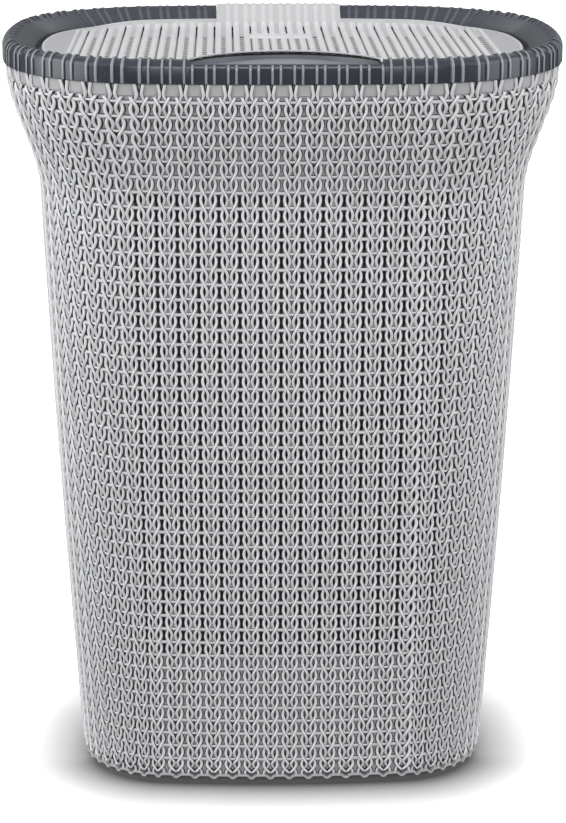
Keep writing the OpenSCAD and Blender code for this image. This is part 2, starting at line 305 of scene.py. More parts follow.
def rib(builder, centre, across, out, width, rise, drop, foot=0.0, back=False, facets=4, tone=0):
    """Ribs with a rounded top along paths.

    centre, across and out are arrays of paths x points x 3. width is half a rib's width, rise
    the height of its crest over the centre, and drop how far its sides go down. With foot the
    sides spread by that much and take the second tone, a painted shade. back closes the rib
    below and at its ends.
    """
    paths, points = centre.shape[:2]
    turn = np.linspace(math.pi, 0, facets + 1)
    side = np.concatenate([[-1], np.cos(turn), [1]])
    crown = np.concatenate([[0], np.sin(turn), [0]])
    low = np.concatenate([[1], np.zeros(facets + 1), [1]])
    width, rise, drop = (np.broadcast_to(v, (paths, points))[..., None] for v in (width, rise, drop))
    height = crown * rise - low * drop
    spread = side * (width + low * foot)
    offset = across[:, :, None] * spread[..., None] + out[:, :, None] * height[..., None]
    m = len(side)
    faces = grid_faces(points, m, closed=back)[:, ::-1].reshape(points - 1, -1, 4)
    tones = np.full(faces.shape[:2], tone)
    tones[:, [0, m - 2]] = SHADED_SIDE_TONE if foot else tone
    faces, tones = faces.reshape(-1, 4), tones.ravel()
    if back:
        k = np.arange(1, m - 1)
        start = np.stack([0 * k, k, k + 1, k + 1], -1)
        faces = np.vstack([faces, start, start[:, [0, 2, 1, 1]] + (points - 1) * m])
        tones = np.concatenate([tones, np.full(2 * len(k), tone)])
    faces = faces[None] + (np.arange(paths) * points * m)[:, None, None]
    builder.add(centre[:, :, None] + offset, faces, np.tile(tones, paths))


# ---- tub
def tub_inset(z):
    """Inset of the tub's outermost surface at the height z."""
    u = (COLLAR_Z - z) / COLLAR_Z
    flare = ease((z - COLLAR_Z) / (SEAT_Z - COLLAR_Z))
    lower = COLLAR_INSET + TAPER * ((1 - TAPER_BEND) * u + TAPER_BEND * u * u)
    upper = SEAT_INSET + (COLLAR_INSET - SEAT_INSET) * (1 - flare)
    return np.where(z < COLLAR_Z, lower, upper)


def tub_frame(wale, z):
    """Points of the tub's outermost surface, with unit vectors to the right, up and out."""
    wale, z = np.broadcast_arrays(np.asarray(wale, float), np.asarray(z, float))
    angle = wale_angle(wale)
    lean = (tub_inset(z + MM / 2) - tub_inset(z - MM / 2)) / MM
    nx, ny = np.cos(angle), np.sin(angle)
    across = points(-ny, nx, 0)
    out = points(nx, ny, lean) / np.sqrt(1 + lean ** 2)[..., None]
    return outline_ring(angle, tub_inset(z), z), across, np.cross(out, across), out


def course_z(course):
    """Height of a place counted in courses. They stand closer together near the floor."""
    last = COURSES - 1
    upper = np.minimum(course, LOW_FROM) * COURSE
    lower = np.clip(course - LOW_FROM, 0, last - LOW_FROM) * LOW_COURSE
    return FIRST_CROSSING - upper - lower - np.maximum(course - last, 0) * LAST_COURSE


def is_open(wale):
    """True for the wales with openwork: near the middle of the front and of each side."""
    angle = wale_angle(wale) % (2 * math.pi)
    off = np.abs((angle + math.pi / 4) % (math.pi / 2) - math.pi / 4)
    behind = np.abs(angle - math.pi / 2) < math.pi / 4
    return (off < OPEN_ANGLE) & ~behind


def in_openwork(wale, course):
    """True at the places of the openwork."""
    return is_open(wale) & (course >= OPEN_FROM) & (course <= OPEN_TO)


def chain_size(wale, z):
    """Scale of the strands where the wales stand closer together or further apart."""
    return np.clip(wale_pitch(wale, tub_inset(z)) / USUAL_PITCH, 0.72, 1.2)


def strands(builder, wales, side, flip):
    """One strand of each wale's left (side -1) or right (side 1) chain. flip 1 is the strand
    that lies in front at even crossings, and -1 the other, which runs on up to the rim."""
    in_front = flip > 0
    top = FRONT_START if in_front else RIM_COURSE
    bottom = COURSES + (FRONT_END if in_front else REAR_END)
    between = np.arange(math.ceil(top * STEPS + 0.5), COURSES * STEPS + 1) / STEPS
    course = np.concatenate([[top], between, np.linspace(COURSES, bottom, 4)[1:]])
    wale, course = np.meshgrid(wales + side * CHAIN, course, indexing="ij")
    z = course_z(course)
    point, across, _, out = tub_frame(wale, z)
    size = chain_size(wale, z)
    swing = -side * flip * np.sin(math.pi * course)
    depth = flip * np.cos(math.pi * course)
    if not in_front:
        above = course < RISE_FROM
        rising = RISE * np.clip((RISE_FROM - course) / RISE_RUN, 0, 1)
        swing = np.where(above, -side * (1 - rising), swing)
        depth = np.where(above, rising, depth)
    past = np.maximum(course - COURSES, 0)
    if in_front:
        away = FRONT_SPREAD * np.minimum(past * 3, 1)
    else:
        away = CHAIN * USUAL_PITCH / SWING * past / REAR_END
    swing = np.where(past > 0, side * flip * away, swing)
    depth = np.where(past > 0, np.cos(math.pi * COURSES) * flip * (1 - past), depth)
    lift = depth * TWIST - TWIST - STRAND_T
    centre = point + across * (swing * SWING * size)[..., None] + out * lift[..., None]
    start = (course - top) / START_FADE + (0 if in_front else 1)
    ends = np.clip(np.minimum(start, (bottom - course) / END_FADE), THIN, 1)
    drop = np.where(in_openwork(wale, course), INNER_DEPTH, WEB_DEPTH + OVERLAP) + lift
    rib(builder, centre, across, out, STRAND_W * size, STRAND_T * ends, drop, FLARE, back=True)


def bars(builder, wales, wide):
    """Short cross bars at each crossing, over the wide or the narrow gap beside each wale."""
    start, end = (CHAIN, 1 - CHAIN) if wide else (-CHAIN, CHAIN)
    n = 6 if wide else 4
    wale, course, share = np.meshgrid(wales, np.arange(COURSES), np.linspace(0, 1, n), indexing="ij")
    z = course_z(course)
    sag = np.interp(z, SAG_Z, SAG) if wide else NARROW_SAG
    z = z - sag * (1 - (2 * share - 1) ** 2)
    point, _, up, out = (v.reshape(-1, n, 3) for v in tub_frame(wale + start + (end - start) * share, z))
    opened = (in_openwork(wale, course) & is_open(wale + 1)).reshape(-1, n)
    size = 1.0 if wide else NARROW_BAR
    drop = np.where(opened, INNER_DEPTH, WEB_DEPTH + OVERLAP) - BAR_DEPTH
    centre = point - out * BAR_DEPTH
    rib(builder, centre, -up, out, BAR_W * size, BAR_T * size, drop, BAR_FLARE, back=True)


def edge_cord(builder, first, last):
    """The zigzag cord along the knit's lower edge, lowest at the middle of each wale."""
    place = np.linspace(first, last, (last - first) * EDGE_STEPS + 1)
    off = np.abs(place - np.round(place))
    z = EDGE_Z + EDGE_RISE * ease((off - EDGE_LOW) / EDGE_RUN)
    point, across, up, out = tub_frame(place, z)
    lean = np.gradient(z) / np.linalg.norm(np.gradient(point, axis=0), axis=1)
    along = across + up * lean[:, None]
    side = np.cross(out, along)
    side /= np.linalg.norm(side, axis=1)[:, None]
    centre = point - out * EDGE_DEPTH
    # The cord takes a darker plastic as painted shade.
    rib(builder, centre[None], -side[None], out[None], EDGE_W, EDGE_T, EDGE_DROP, back=True, tone=EDGE_SHADE_TONE)


def knit_wall(material):
    """The recessed wall behind the strands, with its openings, as a shell of two skins."""
    wales = np.arange(WALES)
    place = np.append((wales[:, None] + WALL_EDGES).ravel(), wales[-1] + 1 + WALL_EDGES[0])
    course = np.concatenate([[RIM_COURSE, *STRIP_COURSES], np.arange(COURSES), [COURSES + 0.5]])
    wale, height = np.meshgrid(place, course_z(course))
    point, _, _, out = tub_frame(wale, height)
    kind = np.append(np.tile(np.arange(len(WALL_EDGES)), len(wales)), 0)
    in_strip = height > course_z(np.mean(STRIP_COURSES))
    depth = np.where(in_strip & (np.abs(WALL_EDGES[kind]) >= CHAIN), STRIP_DEPTH, WEB_DEPTH)
    front = point - out * depth[..., None]
    back = point - out * INNER_DEPTH
    strip = kind[:-1]
    strip_wale = np.round(place[:-1] - WALL_EDGES[strip])
    opened = is_open(strip_wale) & ~np.isin(strip, CLOSED_STRIPS)
    opened &= (strip != GAP_STRIP) | is_open(strip_wale + 1)
    in_courses = (course[:-1] >= OPEN_FROM) & (course[:-1] < OPEN_TO)
    builder = Builder()
    shell(builder, front, back, ~(opened[None] & in_courses[:, None]))
    return builder.piece("tub_wall", [material])


def shell(builder, front, back, solid):
    """Two skins and the walls between them round every opening and along the border."""
    rows, columns = front.shape[:2]
    n = rows * columns
    kept = grid_faces(rows, columns)[solid.ravel()]
    faces = [kept[:, ::-1], kept + n]
    index = np.arange(n).reshape(rows, columns)
    padded = np.pad(solid, 1)
    for start, end, beyond in (
            (index[:-1, 1:], index[1:, 1:], padded[1:-1, 2:]),
            (index[1:, :-1], index[:-1, :-1], padded[1:-1, :-2]),
            (index[:-1, :-1], index[:-1, 1:], padded[:-2, 1:-1]),
            (index[1:, 1:], index[1:, :-1], padded[2:, 1:-1])):
        edge = solid & ~beyond
        a, b = start[edge], end[edge]
        faces.append(np.stack([a, b, b + n, a + n], -1))
    builder.add(np.concatenate([front.reshape(-1, 3), back.reshape(-1, 3)]), np.vstack(faces))


def knit_tub(materials):
    """The tub's knit in sectors, small enough for every tool that reads the pieces."""
    pieces = []
    for number, wales in enumerate(np.array_split(np.arange(WALES), SECTORS), 1):
        builder = Builder()
        for side in (-1, 1):
            for flip in (-1, 1):
                strands(builder, wales, side, flip)
        bars(builder, wales, True)
        bars(builder, wales, False)
        edge_cord(builder, wales[0], wales[-1] + 1)
        pieces.append(builder.piece(f"tub_knit_{number}", materials))
    return pieces


def loft(builder, levels, angle, cap_first=False, cap_last=False):
    """Rings of the outline at the given [inset, height] levels, optionally capped."""
    rings = [outline_ring(angle, inset, z) for inset, z in levels]
    builder.add(np.array(rings), grid_faces(len(levels), len(angle), closed=True))
    for wanted, ring, order in ((cap_first, rings[0], -1), (cap_last, rings[-1], 1)):
        if wanted:
            cap_ring(builder, ring[::order])


def cap_ring(builder, ring):
    """Closes a ring that is symmetric about x = 0 and y = 0 with strips from side to side."""
    n = len(ring)
    half = n // 2
    a = np.arange(half - 1)
    builder.add(ring, np.stack([(n - a) % n, (a + 1) % n, (a + 2) % n, (n - a - 1) % n], -1))


def tub_base(material):
    """The plain foot ring, the floor and the shelf under the rim."""
    angle = np.linspace(0, 2 * math.pi, 4 * 60, endpoint=False)
    low = float(tub_inset(FOOT_H + 3 * MM))
    inner, outer = low + INNER_DEPTH, low + WEB_DEPTH + 0.4 * MM
    foot_in, wall_low = FOOT_INSET + FOOT_W, FLOOR_Z + 9 * MM
    pan = [(inner, wall_low), (inner + 1.5 * MM, FLOOR_Z + 2 * MM), (inner + 5 * MM, FLOOR_Z)]
    foot = [(foot_in, FOOT_H / 2), (foot_in, 0.4 * MM), (foot_in - 0.4 * MM, 0),
            (FOOT_INSET + 0.5 * MM, 0), (FOOT_INSET, 0.5 * MM), (FOOT_INSET, 4 * MM),
            (FOOT_INSET - 0.5 * MM, 5 * MM), (outer + 1.1 * MM, 6.5 * MM), (outer, FOOT_H),
            (outer, wall_low)]
    shelf = [(float(tub_inset(SEAT_Z)) + STRIP_DEPTH, SEAT_Z), (SHELF_INSET, SEAT_Z)]
    builder = Builder()
    loft(builder, pan, angle, cap_last=True)
    loft(builder, foot, angle, cap_first=True)
    loft(builder, shelf, angle)
    return builder.piece("tub_base", [material])


# ---- rim ring
def rib_height(wale):
    """Height of the rim's ribs over its panels, 0 to 1, at a place counted in wales."""
    pitch = wale_pitch(wale, 0.0)
    off = np.abs((wale - RIB_OFFSET + 0.5) % 1 - 0.5)
    width = RIB_W * np.clip(pitch / USUAL_PITCH, 0.8, 1.25)
    near = np.abs(off - RIB_SHARE) * pitch / width
    return np.sqrt(np.clip(1 - near ** RIB_POWER, 0, 1))


def rib_columns(first, last):
    """Places round the rim between two wale counts, close together on the ribs."""
    bumps = np.array([-0.104, -0.09, -0.085, -0.07, -0.05, 0, 0.05, 0.07, 0.085, 0.09, 0.104])
    pattern = np.concatenate([bumps - RIB_SHARE, [-0.06, 0, 0.06], bumps + RIB_SHARE, [0.36, 0.5]])
    wales = np.arange(math.floor(first) - 1, math.ceil(last) + 1)
    every = (wales[:, None] + pattern + RIB_OFFSET).ravel()
    inner = every[(every > first + 0.004) & (every < last - 0.004)]
    return np.concatenate([[first], inner, [last]])


def lid_rise(y):
    """How much higher the lid stands at y than at its back edge."""
    return math.tan(LID_SLOPE) * (HALF_D - SLOPE_IN - y)


def round_over(degrees, r):
    """How far in and how far down the point of a rounded edge lies whose normal points there.
    180 degrees points out of the rim and 90 degrees up."""
    turn = math.radians(degrees)
    return r * (1 + math.cos(turn)), r * (1 - math.sin(turn))


def rim_section():
    """The ring's section as rows of inset, height, share of the lid's slope that the row
    follows, direction in which ribs stand up, and how much of their height is left."""
    rows = [(RIM_INSET + 1.2 * MM, SEAT_Z, 0, 180, 0), (RIM_INSET, SEAT_Z + 0.8 * MM, 0, 180, 0.8),
            (RIM_INSET, SEAT_Z + 2 * MM, 0, 180, 1), (RIM_INSET, RIM_TOP - TOP_R, 0, 180, 1)]
    for degrees in range(165, 75, -15):
        inward, down = round_over(degrees, TOP_R)
        rows.append((RIM_INSET + inward, RIM_TOP - RIB_H * 0.8 - down, 0, degrees, 1))
    inset, z = rows[-1][:2]
    for t, left in ((0.06, 0.95), (0.14, 0.8), (0.24, 0.6), (0.4, 0.55), (0.7, 0.5), (0.96, 0.4)):
        rows.append((inset + t * (SLOPE_END - inset), z + t * (LID_EDGE_Z - z), t, 60, left))
    ledge_end = SLOPE_IN + LEDGE_W
    rows += [(SLOPE_END, LID_EDGE_Z - 0.7 * MM, 1, 0, 0), (SLOPE_END, LEDGE_Z, 0, 0, 0),
             (ledge_end, LEDGE_Z, 0, 0, 0), (ledge_end, LEDGE_Z - SKIN, 0, 0, 0),
             (SHELF_INSET, LEDGE_Z - SKIN, 0, 0, 0), (SHELF_INSET, SEAT_Z, 0, 0, 0)]
    return np.array(rows)


def rim_arc(builder, first, last):
    """A stretch of the ring between two wale counts, with its ends closed."""
    wale = rib_columns(first, last)
    angle = wale_angle(wale)
    section = rim_section()
    bump = rib_height(wale)
    back = np.clip(np.sin(angle) * 4 - 2.6, 0, 1)
    rings = []
    for inset, z, follow, direction, left in section:
        fade = left if left > ALL_ROUND else left * back
        fade = fade * np.where(direction < 150, 1 - 0.6 * back, 1)
        height = bump * RIB_H * fade
        turn = math.radians(direction)
        ring = outline_ring(angle, inset + height * math.cos(turn), z + height * math.sin(turn))
        ring[:, 2] += follow * lid_rise(ring[:, 1])
        rings.append(ring)
    directions, left = section[:, 3:].T
    outer = (left > ALL_ROUND) & (directions > 115)
    top = (left > ALL_ROUND) & ~outer
    inner = (left > 0) & (left <= ALL_ROUND)
    # Rib crests take a painted highlight on the outer face, and a fainter one on the top and, at the back,
    # on the inner slope.
    tones = crest_tones(bump, outer, CREST_HIGHLIGHT_TONE) + crest_tones(bump, top, BAND_HIGHLIGHT_TONE)
    middle = (bump[1:] + bump[:-1]) / 2
    tones[np.ix_((middle > 0.5) & (back[1:] > 0.5), inner)] = BAND_HIGHLIGHT_TONE
    add_closed(builder, np.array(rings), tones)


def crest_tones(bump, rows, tone):
    """The given painted-highlight tone on the crests of the ribs in the given rows of a section, and 0
    elsewhere.
    """
    tones = np.zeros((len(bump) - 1, len(rows)), int)
    tones[np.ix_((bump[1:] + bump[:-1]) / 2 > CREST, rows)] = tone
    return tones


def add_closed(builder, rings, tones=None):
    """A closed section carried along columns, with both end faces filled. rings is an array
    of section rows x columns x 3, and tones one of columns - 1 x rows."""
    rows, columns = rings.shape[:2]
    faces = grid_faces(columns, rows, closed=True)
    verts = rings.transpose(1, 0, 2).reshape(-1, 3)
    middle = verts[(columns // 2) * rows]
    ends = []
    for start in (0, (columns - 1) * rows):
        fill = polygon_triangles(verts[start:start + rows]) + start
        ends.append(oriented(verts, fill, verts[start] - middle))
    all_faces = np.vstack([right_way_out(verts, faces), *ends])
    all_tones = np.zeros(len(all_faces), int)
    if tones is not None:
        all_tones[:len(faces)] = tones.ravel()
    builder.add(verts, all_faces, all_tones)


def oriented(verts, triangles, outward):
    """The triangles, turned so that they face outward."""
    a, b, c = (verts[triangles[:, k]] for k in range(3))
    facing = (np.cross(b - a, c - a) @ outward).sum()
    return triangles if facing >= 0 else triangles[:, [0, 2, 1, 1]]


def right_way_out(verts, faces):
    """The faces, all turned if the closed shape that they make is inside out."""
    a, b, c = (verts[faces[:, k]] for k in range(3))
    middle = verts.mean(0)
    volume = np.einsum("ij,ij->i", a - middle, np.cross(b - middle, c - middle)).sum()
    return faces[:, ::-1] if volume < 0 else faces


def grip_back(x):
    """y of the grip's back edge at x."""
    return GRIP_CENTRE_Y + np.sqrt(GRIP_R ** 2 - np.clip(np.abs(x), 0, GRIP_HALF) ** 2)


def hollow_z(y):
    """Height of the grip's hollow, a stretch of a cylinder along X."""
    run = GRIP_LOW_Y + HALF_D - TOP_R
    depth = GRIP_LIP_Z - GRIP_LOW_Z
    r = (run ** 2 + depth ** 2) / (2 * depth)
    return GRIP_LOW_Z + r - np.sqrt(r ** 2 - (y - GRIP_LOW_Y) ** 2)


def grip_section(builder, first, last):
    """The lowered front of the rim and the grip's hollow behind it."""
    wale = rib_columns(first, last)
    angle = wale_angle(wale)
    bump = rib_height(wale)
    rings = []

    def row(inset, z, left, direction):
        """A row that follows the rim's outline, with this much of the ribs' height left."""
        turn = math.radians(direction)
        height = bump * RIB_H * left
        rings.append(outline_ring(angle, inset + height * math.cos(turn), z + height * math.sin(turn)))

    row(RIM_INSET + 1.2 * MM, SEAT_Z, 0, 180)
    row(RIM_INSET, SEAT_Z + 0.8 * MM, 0.8, 180)
    row(RIM_INSET, SEAT_Z + 2 * MM, 1, 180)
    row(RIM_INSET, GRIP_LIP_Z - 5 * MM, 1, 180)
    row(RIM_INSET + 0.1 * MM, GRIP_LIP_Z - GRIP_LIP_R - 0.6 * MM, 0.8, 180)
    for degrees, left in ((170, 0.6), (150, 0.4), (130, 0.2), (110, 0.1), (90, 0)):
        inward, down = round_over(degrees, GRIP_LIP_R)
        row(RIM_INSET + 0.2 * MM + inward, GRIP_LIP_Z - down, left, degrees)
    hollow_from = len(rings)
    x0, y0 = plan(angle, TOP_R)
    y1 = grip_back(x0)
    for t in np.linspace(0, 1, 15):
        y = y0 + t * (y1 - y0)
        rings.append(points(x0, y, hollow_z(y)))
    hollow_to = len(rings) - 1
    riser = np.maximum(lid_top(y1) - 2.4 * MM, hollow_z(y1) + 0.2 * MM)
    ledge = np.minimum(LEDGE_Z, hollow_z(y1) - 0.6 * MM)
    for behind, z in ((1.2 * MM, riser), (2.4 * MM, riser), (2.6 * MM, ledge), (LEDGE_W, ledge),
                      (LEDGE_W, ledge - SKIN), (-2 * MM, ledge - SKIN)):
        rings.append(points(x0, y1 + behind, z))
    for t in (0.7, 0.4, 0.1):
        y = y0 + t * (y1 - y0)
        rings.append(points(x0, y, np.maximum(hollow_z(y) - 2.5 * MM, SEAT_Z)))
    row(SHELF_INSET, SEAT_Z, 0, 0)
    count = np.arange(len(rings))
    # The front lip's rib crests take a painted highlight.
    tones = crest_tones(bump, (count > 0) & (count < hollow_from - 3), CREST_HIGHLIGHT_TONE)
    # The grip's hollow takes a lighter plastic as painted light.
    tones[:, hollow_from:hollow_to] = HOLLOW_LIGHT_TONE
    # The riser behind the hollow takes the fainter painted highlight.
    tones[:, hollow_to:hollow_to + 3] = BAND_HIGHLIGHT_TONE
    add_closed(builder, np.array(rings), tones)


def hinge_floor(builder, first, last):
    """The thin floor that joins the ring's two ends under the lid's tongue."""
    angle = wale_angle(np.linspace(first, last, 12))
    inner, top = SLOPE_IN + LEDGE_W, SEAT_Z + HINGE_FLOOR_T
    levels = ((RIM_INSET, SEAT_Z), (RIM_INSET, top), (inner, top), (inner, SEAT_Z))
    add_closed(builder, np.array([outline_ring(angle, inset, z) for inset, z in levels]))


def wale_where(x, back):
    """Wale count on the rim's outer face at x, on the front or the back."""
    angle = math.acos(x / FRONT_R) * (1 if back else -1)
    lap = math.floor((angle + math.pi / 2) / (2 * math.pi))
    return np.interp(angle - lap * 2 * math.pi, TABLE_ANGLE, TABLE_WALE) + lap * WALES


def rim_ring(materials):
    """The whole ring: an arc on each side, the grip at the front and the floor at the hinge."""
    notch = TONGUE_HALF + TONGUE_GAP
    front_l, front_r = wale_where(-GRIP_HALF, False), wale_where(GRIP_HALF, False)
    back_r, back_l = wale_where(notch, True), wale_where(-notch, True)
    builder = Builder()
    rim_arc(builder, front_r, back_r)
    rim_arc(builder, back_l, front_l + WALES)
    grip_section(builder, front_l, front_r)
    hinge_floor(builder, back_r, back_l)
    piece = builder.piece("rim_ring_ribbed", materials)
    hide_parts("rim_ring")
    return piece


# ---- lid
def lid_top(y):
    """Height of the lid's face, without its tongue."""
    return LID_EDGE_Z + lid_rise(y) + UPTURN * ease((y - LID_BACK + UPTURN_W) / UPTURN_W)


def lip_lift(x, y):
    """How far the lid's edge is turned up round the grip."""
    near = 1 - ease((y - lid_front(x)) / GRIP_BORDER)
    return LIP_RISE * near * np.sqrt(np.clip(1 - (x / GRIP_HALF) ** 2, 0, 1))


def lid_front(x):
    """y of the lid's front edge, which the grip cuts into."""
    edge = front_y(x, LID_INSET)
    cut = GRIP_CENTRE_Y + np.sqrt(np.maximum((GRIP_R + GRIP_GAP) ** 2 - x ** 2, 0))
    return np.where(np.abs(x) < GRIP_END, np.maximum(edge, cut), edge)


def lid_back(x):
    """y of the lid's back edge."""
    return -front_y(x, LID_INSET)


def lid_slots():
    """x of the narrow slots, one at the middle of each of the lid's wales."""
    left = math.floor((BORDER_X + LID_SLOT_X) / LID_PITCH)
    right = math.floor((BORDER_X - LID_SLOT_X) / LID_PITCH)
    return LID_SLOT_X + np.arange(-left, right + 1) * LID_PITCH


def off_wale(x):
    """Distance of x from the nearest of the lid's slots, negative on its left."""
    return (x - LID_SLOT_X + LID_PITCH / 2) % LID_PITCH - LID_PITCH / 2


def lid_columns(slots):
    """x of the plate's grid lines: slots, valleys, borders and the rounded ends."""
    ends = HALF_W - LID_INSET - np.array([0.01, 0.15, 0.6, 1.4, 2.6, 4.2, 6.5, 9.5, 13, 17, 20.5]) * MM
    middle = slots + LID_PITCH / 2
    inner = np.concatenate([slots - LID_SLOT, slots + LID_SLOT, middle - LID_VALLEY, middle + LID_VALLEY])
    inner = inner[np.abs(inner) < BORDER_X - 4 * MM]
    pairs = np.array([GRIP_END - 0.01 * MM, GRIP_END + 0.01 * MM, BORDER_X - 3 * MM, BORDER_X])
    x = np.concatenate([inner, pairs, -pairs, ends, -ends])
    return np.unique(np.round(x, 6))


def lid_rows():
    """y of the plate's grid lines: four to a course in the knit, wider apart behind it."""
    course = KNIT_END_Y - np.arange(LID_COURSES)[:, None] * COURSE
    front = (course + np.array([-3.6, 3.6, 5.3, 6.8]) * MM).ravel()
    behind = np.concatenate([np.arange(61, 100, 6), np.arange(103, 140.5, 3)]) * MM
    return np.unique(np.concatenate([front, behind, [LID_BACK + 1 * MM]]))


def lid_room(x, y):
    """How far a place lies inside the knit field of the lid's face."""
    border = np.where(np.abs(x) < GRIP_HALF + 2 * MM, GRIP_BORDER, FRONT_BORDER)
    room = np.minimum(y - lid_front(x) - border, lid_back(x) - BACK_BORDER - y)
    return np.minimum(room, BORDER_X - 1.5 * MM - np.abs(x))


def lid_plate(builder, field):
    """The plate, as a grid whose rows are clipped to the lid's outline, and its sunk field."""
    x, rows = lid_columns(lid_slots()), lid_rows()
    grid_x, grid_y = np.meshgrid(x, rows)
    y = np.minimum(np.maximum(grid_y, lid_front(grid_x)), lid_back(grid_x))
    sunk = LID_RELIEF * np.clip(lid_room(grid_x, y) / MM, 0, 1)
    lifted = lid_top(y) + lip_lift(grid_x, y)
    from_edge = np.where(np.abs(grid_x) < GRIP_HALF + 1 * MM, y - lid_front(grid_x), 1)
    under = LIP_T + (LID_SKIN - LIP_T) * np.clip((from_edge - 4 * MM) / (8 * MM), 0, 1)
    front = points(grid_x, y, lifted - sunk)[:, ::-1]
    back = points(grid_x, y, lifted - under)[:, ::-1]
    mid_x, mid_y = np.meshgrid((x[1:] + x[:-1]) / 2, (rows[1:] + rows[:-1]) / 2)
    solid = ~lid_holes(mid_x, mid_y)
    same = np.abs(np.diff(y, axis=0)) < 1e-4 * MM
    jump = (np.diff(x) < 0.03 * MM)[None] & (same[:, 1:] | same[:, :-1])
    solid &= ~(same[:, 1:] & same[:, :-1]) & ~jump
    in_field = lid_room(mid_x, mid_y) > 0
    shell(builder, front, back, (solid & ~in_field)[:, ::-1])
    shell(field, front, back, (solid & in_field)[:, ::-1])


def lid_holes(x, y):
    """True at the lid's slots, at the knit's holes between them and at the two short slots."""
    off = np.abs(off_wale(x))
    inside = (lid_room(x, y) > 2 * MM) & (y < LID_BACK - 22 * MM)
    part = np.abs((KNIT_END_Y - y) / COURSE % 1 - 0.5)
    knit = y < KNIT_END_Y + 2 * MM
    badge = (np.abs(x) < BADGE_X + 2 * MM) & (y > BADGE_Y[0]) & (y < BADGE_Y[1])
    slot = (off < LID_SLOT) & ~(knit & (part < SLOT_BRIDGE))
    valley = off > LID_PITCH / 2 - LID_VALLEY
    hole = valley & knit & (part > HOLE_BRIDGE)
    mark = valley & (np.abs(np.abs(x) - MARK_X) < MARK_HALF) & (y > MARK_Y[0]) & (y < MARK_Y[1])
    return (slot | hole | mark) & inside & ~badge


def lid_edge(builder):
    """A rounded bead along the lid's outline and round the grip."""
    cut = math.asin(GRIP_END / (GRIP_R + GRIP_GAP))
    turn = np.linspace(-cut, cut, 41)
    r = GRIP_R + GRIP_GAP + BEAD_W
    arc = np.stack([r * np.sin(turn), GRIP_CENTRE_Y + r * np.cos(turn)], -1)
    start = math.asin(GRIP_END / (FRONT_R - LID_INSET)) - math.pi / 2 + 0.002
    outline = np.stack(plan(np.linspace(start, math.pi - start, 361), LID_INSET + BEAD_W), -1)
    side = np.linspace(outline[-1, 1], arc[0, 1], 12)[1:-1]
    left = np.stack([np.full_like(side, -GRIP_END - BEAD_W), side], -1)
    path = np.vstack([outline, left, arc, left[::-1] * [-1, 1]])
    step = np.roll(path, -1, 0) - np.roll(path, 1, 0)
    step /= np.linalg.norm(step, axis=1)[:, None]
    x, y = path.T
    on_arc = np.hypot(x, y - GRIP_CENTRE_Y) < r + 0.1 * MM
    centre = points(x, y, lid_top(y) + np.where(on_arc, lip_lift(x, y), 0) - 0.6 * MM)
    across = points(step[:, 1], -step[:, 0], 0)
    out = np.broadcast_to([0, 0, 1.0], centre.shape)
    loop = [np.concatenate([v, v[:1]])[None] for v in (centre, across, out)]
    rib(builder, *loop, BEAD_W, 0.7 * MM, 0.2 * MM, back=True)


def lid_path(x, y):
    """Points of the lid's face, with unit vectors to the right and out of it."""
    lean = (lid_top(y + MM / 2) - lid_top(y - MM / 2)) / MM
    out = points(0, -lean, 1) / np.sqrt(1 + lean ** 2)[..., None]
    return points(x, y, lid_top(y)), np.broadcast_to([1.0, 0, 0], out.shape), out


def tongue_profile():
    """Points of the tongue's top from the lid's plate over the barrel, with directions out."""
    start = LID_BACK - 13 * MM
    y = np.linspace(start, HINGE.y, 22)
    s = ease((y - start) / (HINGE.y - start))
    z = lid_top(np.minimum(y, LID_BACK)) * (1 - s) + (HINGE.z + BARREL_R) * s
    turn = np.radians(np.linspace(90, -60, 21))[1:]
    y = np.concatenate([y, HINGE.y + BARREL_R * np.cos(turn)])
    z = np.concatenate([z, HINGE.z + BARREL_R * np.sin(turn)])
    dy, dz = np.gradient(y), np.gradient(z)
    length = np.hypot(dy, dz)
    return y, z, -dz / length, dy / length


def lid_tongue(builder):
    """The tongue that carries the lid's barrel, closed below."""
    y, z, out_y, out_z = tongue_profile()
    top = np.stack([y - out_y * LID_RELIEF * 0.6, z - out_z * LID_RELIEF * 0.6], -1)
    y0 = y[0] - 2 * MM
    under_y = np.linspace(HINGE.y - BARREL_R * 0.9, y0, 12)
    under_z = np.interp(under_y, y[:22], z[:22]) - 3.2 * MM
    under_z = np.minimum(under_z, np.linspace(HINGE.z - BARREL_R * 0.4, lid_top(y0) - 3 * MM, 12))
    profile = np.vstack([top, np.stack([under_y, under_z], -1)])
    x = np.array([-TONGUE_HALF, -TONGUE_HALF + 0.6 * MM, 0, TONGUE_HALF - 0.6 * MM, TONGUE_HALF])
    add_closed(builder, points(x, profile[:, :1], profile[:, 1:]))


def ridge_rows(x, end):
    """y along a ridge at x, four rows to a course in the knit and wider apart behind it."""
    first = float(lid_front(x)) + (GRIP_BORDER if abs(x) < GRIP_HALF + 2 * MM else FRONT_BORDER)
    knit = np.arange(KNIT_END_Y, first, -COURSE / 4)[::-1]
    behind = np.linspace(KNIT_END_Y, end, 16)[1:]
    rows = np.concatenate([[first], knit[knit > first + 1 * MM], behind])
    if abs(x) < BADGE_X + LID_RIDGE_W:
        rows = np.sort([*rows, BADGE_Y[0] - MM, *BADGE_Y, BADGE_Y[1] + MM])
    return rows


